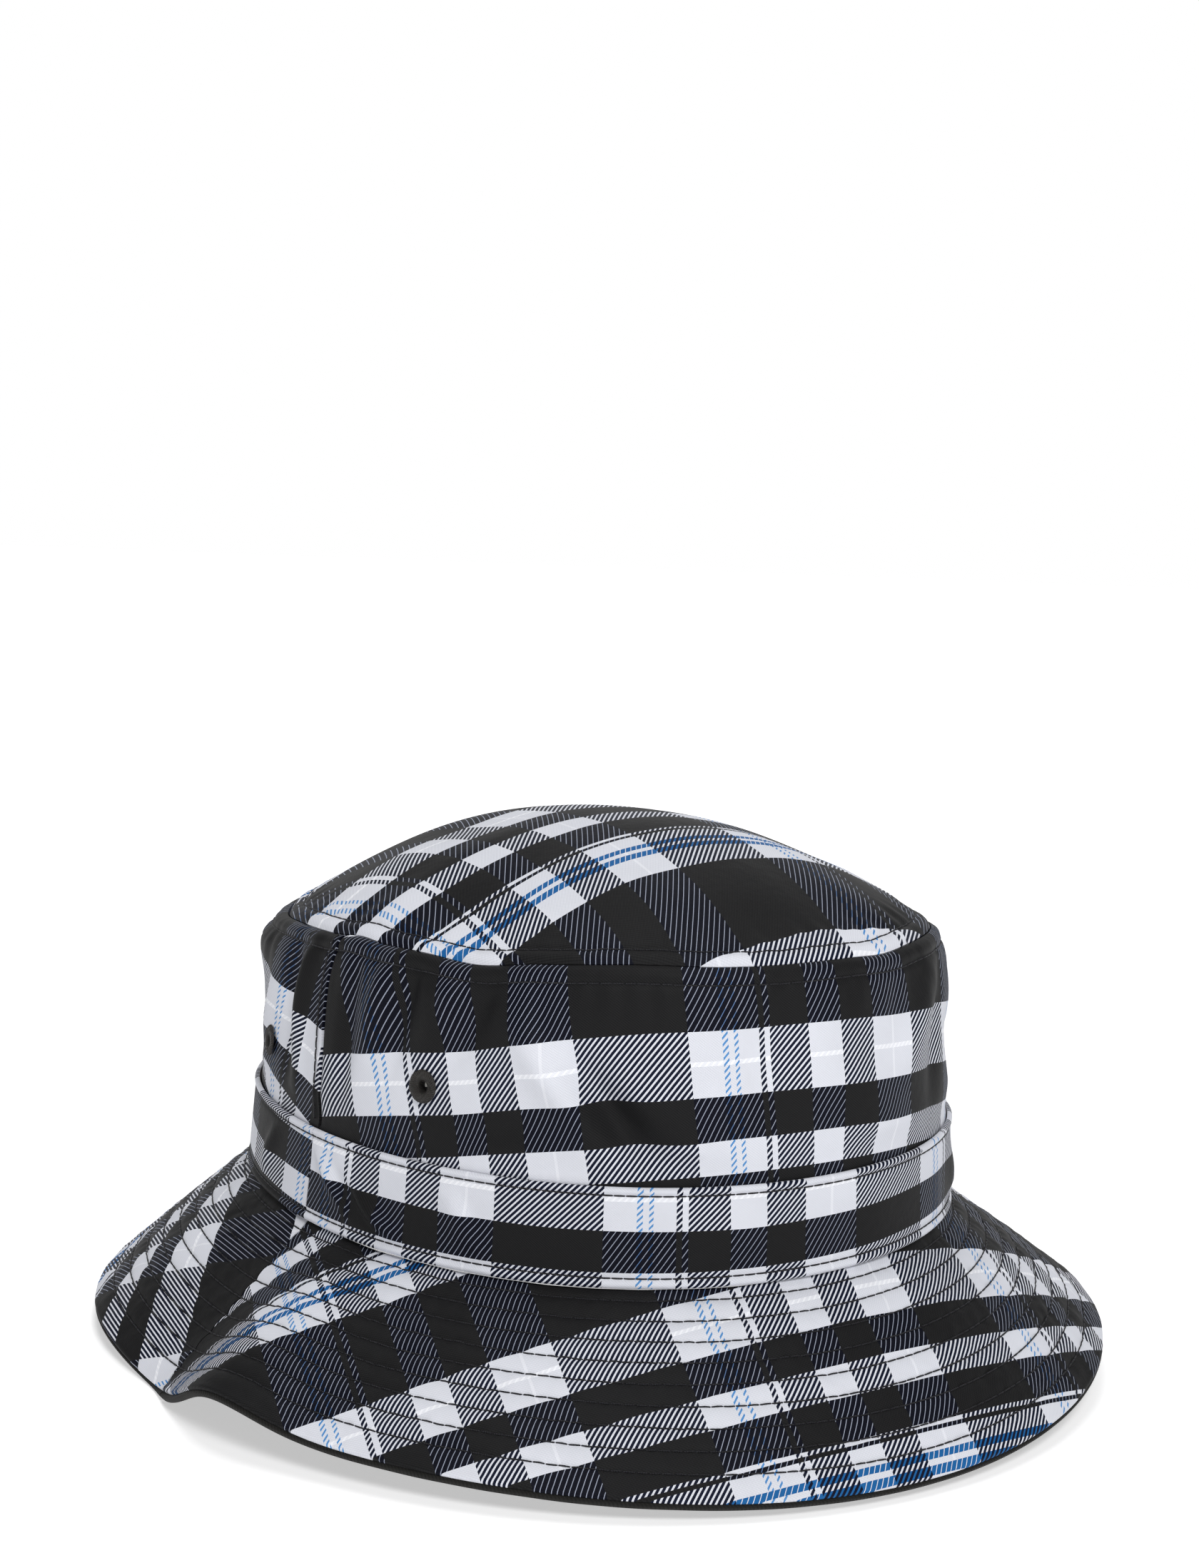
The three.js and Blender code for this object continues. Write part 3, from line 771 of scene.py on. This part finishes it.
def hat_band(half):
    edge = np.array([0, 0.1, 0.25, 0.5, 0.8, 1.1, 1.5, 1.8, 2.1, 2.4, 2.7, 3.1, 3.5, 4.0]) / BAND_HEIGHT
    turn, level = half_grid(half, 361, np.concatenate([edge, np.linspace(0.2, 0.8, 16), 1 - edge[::-1]]))
    back = CLOTH - round_edge(from_band_edge(level), 0.5, 0.2)
    thing = laid_sheet(f"hat_band_{half}_cloth", crown_surface, turn, level, (band_depth(turn, level), back),
                       band_print(turn, level, half), [PLAID, LINING])
    finished(thing, "plaid_cloth", f"hat_band_{half}")


# ---- brim ----

def quilt_rows(last):
    """Distances from the band of the brim's rows of points, closest beside the stitches and at the edge."""
    pitch = QUILTING[1] - QUILTING[0]
    shares = np.array([0, 0.05, 0.11, 0.2, 0.35, 0.5, 0.65, 0.8, 0.89, 0.95])
    rows = [row + share * pitch for row in QUILTING[:-1] for share in shares]
    near = [45.0, 45.3, 45.7, 46.4, 47.4, 48.5, 49.4]
    edge = [50.1, 50.5, 50.8, 51.05, 51.25, 51.4, 51.5]
    return np.concatenate([[-BRIM_TUCK, -0.5, 0.3, 0.8, 1.2], rows, near, edge, last])


def brim_top_depth(turn, along):
    return round_edge(BRIM_WIDTH - along, 0.9, 0.6) - quilt_relief(turn, along)


def brim_top(half):
    turn, along = half_grid(half, 321, quilt_rows([]))
    depth = brim_top_depth(turn, along)
    back = np.maximum(depth, 0) * 0.3 + BRIM_CLOTH
    thing = laid_sheet(f"brim_top_{half}_cloth", brim_surface, turn, along, (depth, back),
                       brim_print(turn, along, half), [PLAID, LINING])
    finished(thing, "plaid_cloth", f"brim_top_{half}")


def under_bottom(turn, along):
    relief = quilt_relief(turn + 1.3, along) * 0.8
    return UNDER_BOTTOM + relief - round_edge(BRIM_WIDTH + UNDER_LIP - along, 1.1, 0.6)


def brim_under(half):
    lip = np.array([0.3, 0.6, 0.8, 0.92, 1.0]) * UNDER_LIP + BRIM_WIDTH
    turn, along = half_grid(half, 321, quilt_rows(lip))
    rise = np.clip((along - (BRIM_WIDTH - 1.4)) / 0.9, 0, 1)
    beyond = np.clip(along - BRIM_WIDTH + 0.5, 0, 9) / (UNDER_LIP + 0.5)
    upper = UNDER_TOP - 1.1 * rise * rise * (3 - 2 * rise)
    upper = upper + round_edge(BRIM_WIDTH + UNDER_LIP - along, 0.6, 0.5)
    curl = outward(turn) * (CURL_SIZE * hill(apart(turn, CURL_TURN), CURL_SPREAD) * beyond)[..., None]
    top = lay(brim_surface, turn, along, upper) + curl
    bottom = lay(brim_surface, turn, along, under_bottom(turn, along)) + curl
    uv = np.stack([from_middle(turn, BRIM_ARC, half), along], -1)
    thing = sheet(f"brim_under_{half}_cloth", bottom, top, uv, [UNDER] * 2)
    finished(thing, "underbrim_cloth", f"brim_under_{half}")


# ---- inside ----

def sweatband():
    turns = np.linspace(-180, 180, 480, endpoint=False)
    foot, top = SWEATBAND_LEVELS
    rows = np.concatenate([np.linspace(foot, 0.16, 8), np.linspace(0.2, 1.0, 14), np.linspace(1.02, top, 8)])
    turn, level = np.meshgrid(turns, rows)
    behind = tuck(level) + CLOTH + GAP - np.where(level > 1, wall_relief(turn, level), 0)
    edge = np.minimum(level - foot, top - level) * BAND_HEIGHT
    puff = 0.25 * hill(level - 0.6, 0.35) * (1 + 0.5 * ripple(turn, level, 5, 30, 2))
    valley = -0.25 * hill((top - level) * BAND_HEIGHT - 2, 0.6)
    face = behind + BRIM_CLOTH + puff + valley - round_edge(edge, 0.8, 0.4)
    uv = np.stack([turn * WEAVE_PER_DEGREE, level * BAND_HEIGHT], -1)
    thing = laid_sheet("sweatband_strip", crown_surface, turn, level, (face, behind), uv, [SWEAT] * 2,
                       closed=True)
    finished(thing, "sweatband_cloth", "sweatband")


def tape_strip(name, node, turns, rows, closed=False):
    """A tape that lies along its longer side: level around the crown where closed, and upright elsewhere."""
    turn, level = np.meshgrid(turns, rows)
    behind = CLOTH + GAP
    if closed:
        across = (level - rows.mean()) / (rows.max() - rows.min()) * 2
    else:
        across = (turn - turns.mean()) / (turns.max() - turns.min()) * 2
    face = behind + BRIM_CLOTH - 0.35 * np.abs(across) ** 6 + 0.08 * ripple(turn * 3, level * 6, 14, 30, 3)
    relief = wall_relief(turn, level)
    uv = np.stack([turn * MM_PER_DEGREE, level * WALL_HEIGHT], -1)
    depths = (face - relief, behind - relief)
    thing = laid_sheet(name, crown_surface, turn, level, depths, uv, [TAPE] * 2, closed)
    finished(thing, "seam_tape", node)


def seam_tapes():
    tape_strip("crown_seam_binding", "crown_seam_tape", np.linspace(-180, 180, 360, endpoint=False),
               np.linspace(*CROWN_TAPE_LEVELS, 9), closed=True)
    for side, centre in (("left", 90), ("right", -90)):
        tape_strip(f"side_seam_binding_{side}", f"side_seam_tape_{side}",
                   np.linspace(centre - SIDE_TAPE_HALF_TURN, centre + SIDE_TAPE_HALF_TURN, 15),
                   np.linspace(*SIDE_TAPE_LEVELS, 30))


def size_label():
    turns, levels = LABEL_PLACE["turns"], LABEL_PLACE["levels"]
    turn, level = np.meshgrid(np.linspace(*turns, 60), np.linspace(*levels, 30))
    start = tuck(level) + CLOTH + GAP + BRIM_CLOTH + GAP
    curl = 0.5 * hill(level - levels[0], 0.2) + 0.15 * ripple(turn * 3, level * 4, 18, 12, 2)
    uv = np.stack([turn * WEAVE_PER_DEGREE, level * BAND_HEIGHT], -1)
    depths = (start + LABEL_PLACE["thickness"] + curl, start + curl)
    thing = laid_sheet("size_label_blank", crown_surface, turn, level, depths, uv, [LABEL] * 2)
    finished(thing, "label_cloth", "size_label")


def side_patch():
    x, y = np.meshgrid(np.linspace(-1, 1, 36), np.linspace(-1, 1, 18))
    turn = PATCH["turn"] + x * PATCH["half_turn"]
    level = PATCH["level"] + y * PATCH["half_level"]
    swell = PATCH["thickness"] - 0.35 * np.maximum(x ** 8, y ** 8) + 0.05 * np.sin(turn * 14)
    relief = wall_relief(turn, level)
    uv = np.stack([turn * WEAVE_PER_DEGREE, level * WALL_HEIGHT], -1)
    depths = (-(GAP + swell) - relief, -GAP - relief)
    thing = laid_sheet("side_patch_blank", crown_surface, turn, level, depths, uv, [LABEL] * 2)
    finished(thing, "label_cloth", "side_patch")


# ---- eyelets ----

# Radius and height above the cloth: under the cloth, out through its hole, over the rim and back inside. The
# first seven points are out of sight, and their threads stand out less.
EYELET_PROFILE = np.array([
    (1.15, -1.9), (2.4, -1.95), (2.75, -1.7), (2.4, -1.45), (1.65, -1.4), (1.6, -0.5), (1.65, 0.2),
    (2.6, 0.25), (3.7, 0.28), (3.95, 0.45), (3.8, 0.75), (3.3, 1.0), (2.6, 1.1), (2.0, 0.98), (1.5, 0.6),
    (1.25, 0.2), (1.2, -0.6), (1.2, -1.5),
])


def eyelet(corner, centre, level):
    """Satin-stitched eyelet: threads wound over a ring, through the hole and back under the cloth."""
    wraps, steps = 46, 6
    angles = np.linspace(0, 2 * math.pi, wraps * steps, endpoint=False)
    angle, step = np.meshgrid(angles, np.arange(len(EYELET_PROFILE)))
    radius, height = EYELET_PROFILE[step, 0], EYELET_PROFILE[step, 1]
    ridge = 0.07 * np.abs(np.sin(angle * wraps / 2)) + 0.03 * np.sin(angle * 7 + step)
    radius = radius + ridge * np.where(step > 6, 1.0, 0.4)
    height = height + ridge * np.where((step > 7) & (step < 15), 1.0, 0.0)
    turn, level = np.array(centre), np.array(level)
    out = normals(crown_surface, turn, level)
    middle = crown_surface(turn, level) + out * wall_relief(turn, level)
    side = np.cross([0, 0, 1], out)
    side /= np.linalg.norm(side)
    up = np.cross(out, side)
    points = (middle + side * (radius * np.cos(angle))[..., None] + up * (radius * np.sin(angle))[..., None]
              + out * height[..., None])
    rows, around = step.shape
    number = np.arange(rows * around).reshape(rows, around)
    right, below = np.roll(number, -1, 1), np.roll(number, -1, 0)
    cells = np.stack([number, right, np.roll(below, -1, 1), below], -1).reshape(-1, 4)
    uv = np.stack([angle * 3, step * 0.6], -1).reshape(-1, 2)
    thing = mesh_object(f"eyelet_{corner}_wound", points.reshape(-1, 3), cells.tolist(), [EYELET], uv,
                        sharp=80)
    finished(thing, "eyelet_thread", f"eyelet_{corner}")


# ---- stitching ----

THREAD_RADIUS = 0.19
THREAD_SIDES = 6
STITCH_LENGTH = 2.7
STITCH_GAP = 0.1
# One stitch, from end to end: share of its length, lift above the cloth and share of the thread's radius.
STITCH_SHARES = np.array([0.0, 0.1, 0.5, 0.9, 1.0])
STITCH_LIFT = np.array([-0.08, 0.05, 0.1, 0.05, -0.08])
STITCH_GIRTH = np.array([0.8, 1.0, 1.05, 1.0, 0.8]) * THREAD_RADIUS


def stitches(points, outs):
    """Separate stitches along a line of points; each end dives into the cloth."""
    steps = np.linalg.norm(np.diff(points, axis=0), axis=1)
    place = np.concatenate([[0], np.cumsum(steps)])
    count = max(1, int(place[-1] / (STITCH_LENGTH + STITCH_GAP)))
    pitch = place[-1] / count
    at = (np.arange(count)[:, None] * pitch + STITCH_GAP / 2 + STITCH_SHARES * (pitch - STITCH_GAP)).ravel()
    rings, sides = len(STITCH_SHARES), THREAD_SIDES
    middle, out = (np.stack([np.interp(at, place, axis) for axis in values.T], -1).reshape(count, rings, 3)
                   for values in (points, outs))
    out /= np.linalg.norm(out, axis=-1, keepdims=True)
    ahead = np.gradient(middle, axis=1)
    ahead /= np.linalg.norm(ahead, axis=-1, keepdims=True)
    side = np.cross(ahead, out)
    middle = middle + out * STITCH_LIFT[None, :, None]
    angles = np.linspace(0, 2 * math.pi, sides, endpoint=False)
    ring = side[:, :, None] * np.cos(angles)[:, None] + out[:, :, None] * np.sin(angles)[:, None]
    skin = middle[:, :, None] + ring * STITCH_GIRTH[None, :, None, None]
    number = np.arange(count * rings * sides).reshape(count, rings, sides)
    right = np.roll(number, -1, 2)
    walls = np.stack([number[:, :-1], right[:, :-1], right[:, 1:], number[:, 1:]], -1).reshape(-1, 4)
    ends = np.concatenate([number[:, 0, ::-1], number[:, -1]])
    uv = np.stack(np.broadcast_arrays(at.reshape(count, rings, 1), angles[None, None] * THREAD_RADIUS), -1)
    return skin.reshape(-1, 3), walls.tolist() + ends.tolist(), uv.reshape(-1, 2)


def sew(name, node, lines):
    """One piece of stitching from several lines of (points, outward directions)."""
    points, faces, places, start = [], [], [], 0
    for line in lines:
        skin, cells, uv = stitches(*line)
        points.append(skin)
        faces += [[corner + start for corner in cell] for cell in cells]
        places.append(uv)
        start += len(skin)
    thing = mesh_object(name, np.concatenate(points), faces, [THREAD], np.concatenate(places), sharp=70)
    finished(thing, "sewing_thread", node)


def seam_line(surface, turns, rows, depth, flip=False):
    """Points and outward directions of a line that runs at a depth below a surface."""
    outs = normals(surface, turns, rows)
    points = surface(turns, rows) - outs * depth(turns, rows)[:, None]
    return points, -outs if flip else outs


def ring_line(surface, row, depth, flip=False):
    turns = np.linspace(-180, 180, 1441)
    return seam_line(surface, turns, np.full(turns.shape, float(row)), depth, flip)


def stitching():
    sew("top_panel_topstitch", "top_panel_stitch",
        [ring_line(top_surface, 1 - TOP_STITCH / TOP_RADIUS, lambda t, r: -top_relief(t, r))])
    sew("side_panel_topstitch", "side_panel_stitch",
        [ring_line(crown_surface, 2 - WALL_STITCH / WALL_HEIGHT, wall_depth)])
    foot, head = BAND_STITCH
    for side, level in (("lower", foot / BAND_HEIGHT), ("upper", 1 - head / BAND_HEIGHT)):
        sew(f"band_topstitch_{side}", f"band_stitch_{side}", [ring_line(crown_surface, level, band_depth)])
    for k, row in enumerate(QUILTING, 1):
        above = ring_line(brim_surface, row, brim_top_depth)
        below = ring_line(brim_surface, row, under_bottom, flip=True)
        sew(f"brim_quilting_row_{k}", f"brim_stitch_row_{k}", [above, below])
    for side, centre in (("left", 90 + SIDE_STITCH), ("right", -90 - SIDE_STITCH)):
        levels = np.linspace(1.04, 1.99, 120)
        line = seam_line(crown_surface, np.full(levels.shape, centre), levels, wall_depth)
        sew(f"side_seam_topstitch_{side}", f"side_seam_stitch_{side}", [line])


# ---- build ----

for half in ("front", "back"):
    side_panel(half)
    hat_band(half)
    brim_top(half)
    brim_under(half)
top_panel()
sweatband()
seam_tapes()
size_label()
side_patch()
for corner, place in eyelet_centres().items():
    eyelet(corner, *place)
stitching()

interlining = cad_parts["brim_interlining"]
interlining.data.materials.clear()
interlining.data.materials.append(foam_material())


# ---- stage ----

FLOOR_SIZE = 40.0                # metres from the middle to each edge
LIGHTS = (                       # name, place, side in metres, power
    ("key", (-0.55, -1.18, 1.25), 0.5, 15.5),
    ("fill", (1.3, -0.9, 0.8), 0.9, 0.3),
    ("overhead", (0, 0.1, 1.6), 0.7, 8.5),
)
LIGHTS_AIM = (0, 0, 0.07)
WORLD_SIDE = (0.6, 0.8, 0)       # the studio is bright behind the hat and at the horizon
WORLD_DIM, WORLD_BRIGHT = 0.1, 1.0
CAMERA_PIVOT = (0, 0, 81.3)      # the point that the camera's angles and distance are measured from
CAMERA_AIM = (3.97, 8.45, 141.9)    # the point that the middle of the picture looks at
CAMERA_AZIMUTH, CAMERA_ELEVATION, CAMERA_ROLL = (math.radians(angle) for angle in (-36.778, 11.349, 2.108))
CAMERA_DISTANCE, CAMERA_LENS, CAMERA_SENSOR = 635.05, 54.326, 36    # mm


def floor():
    """A pale floor that glows more the further it is from the hat."""
    corners = [(x * FLOOR_SIZE, y * FLOOR_SIZE, 0) for x, y in ((-1, -1), (1, -1), (1, 1), (-1, 1))]
    mesh = bpy.data.meshes.new("floor")
    mesh.from_pydata(corners, [], [(0, 1, 2, 3)])
    graph = MaterialGraph("pale floor", roughness=0.9, specular=0.1)
    reach = graph.node("VectorMath", operation="LENGTH")
    graph.link(graph.node("TexCoord").outputs["Object"], reach.inputs[0])
    glow = graph.map_range(reach.outputs["Value"], 0.2, 1.4, 0.5, 0.95)
    graph.link((1, 1, 1, 1), graph.shader["Emission Color"])
    graph.link(glow, graph.shader["Emission Strength"])
    mesh.materials.append(graph.finish((0.8, 0.8, 0.805, 1)))
    plane = add_object("floor", mesh)


def lights():
    for name, place, side, power in LIGHTS:
        data = bpy.data.lights.new(name, "AREA")
        data.shape = "RECTANGLE"
        data.size = data.size_y = side
        data.energy = power
        lamp = add_object(name, data)
        lamp.location = place
        lamp.rotation_euler = (Vector(LIGHTS_AIM) - Vector(place)).to_track_quat("-Z", "Y").to_euler()


def studio():
    world = bpy.data.worlds.new("studio")
    graph = Graph(world)
    background = graph.tree.nodes["Background"]
    graph.link((1, 1, 1, 1), background.inputs["Color"])
    direction = graph.node("TexCoord").outputs["Generated"]
    facing = graph.node("VectorMath", operation="DOT_PRODUCT")
    graph.link(direction, facing.inputs[0])
    graph.link(WORLD_SIDE, facing.inputs[1])
    level = graph.node("SeparateXYZ")
    graph.link(direction, level.inputs[0])
    side = graph.map_range(facing.outputs["Value"], 0.55, 0.92, WORLD_DIM, WORLD_BRIGHT)
    horizon = graph.map_range(level.outputs["Z"], 0.05, 0.2, WORLD_BRIGHT, WORLD_DIM)
    graph.link(graph.math("MAXIMUM", side, horizon), background.inputs["Strength"])
    bpy.context.scene.world = world
    bpy.context.scene.view_settings.view_transform = "Standard"
    bpy.context.scene.view_settings.look = "None"


def camera():
    """Off the hat's front right, a little above the brim and level with the crown."""
    direction = np.array([math.sin(CAMERA_AZIMUTH) * math.cos(CAMERA_ELEVATION),
                          -math.cos(CAMERA_AZIMUTH) * math.cos(CAMERA_ELEVATION), math.sin(CAMERA_ELEVATION)])
    eye = Vector((np.array(CAMERA_PIVOT) + direction * CAMERA_DISTANCE + SEAT) * MM)
    aim = Vector((np.array(CAMERA_AIM) + SEAT) * MM)
    forward = (aim - eye).normalized()
    right = forward.cross(Vector((0, 0, 1))).normalized()
    up = right.cross(forward)
    c, s = math.cos(CAMERA_ROLL), math.sin(CAMERA_ROLL)
    level, tall = right * c + up * s, up * c - right * s
    data = bpy.data.cameras.new("camera")
    data.lens, data.sensor_width = CAMERA_LENS, CAMERA_SENSOR
    data.clip_start, data.clip_end = 0.05, 20
    thing = add_object("camera", data)
    thing.matrix_world = Matrix((
        (level.x, tall.x, -forward.x, eye.x), (level.y, tall.y, -forward.y, eye.y),
        (level.z, tall.z, -forward.z, eye.z), (0, 0, 0, 1)))
    bpy.context.scene.camera = thing


floor()
lights()
studio()
camera()
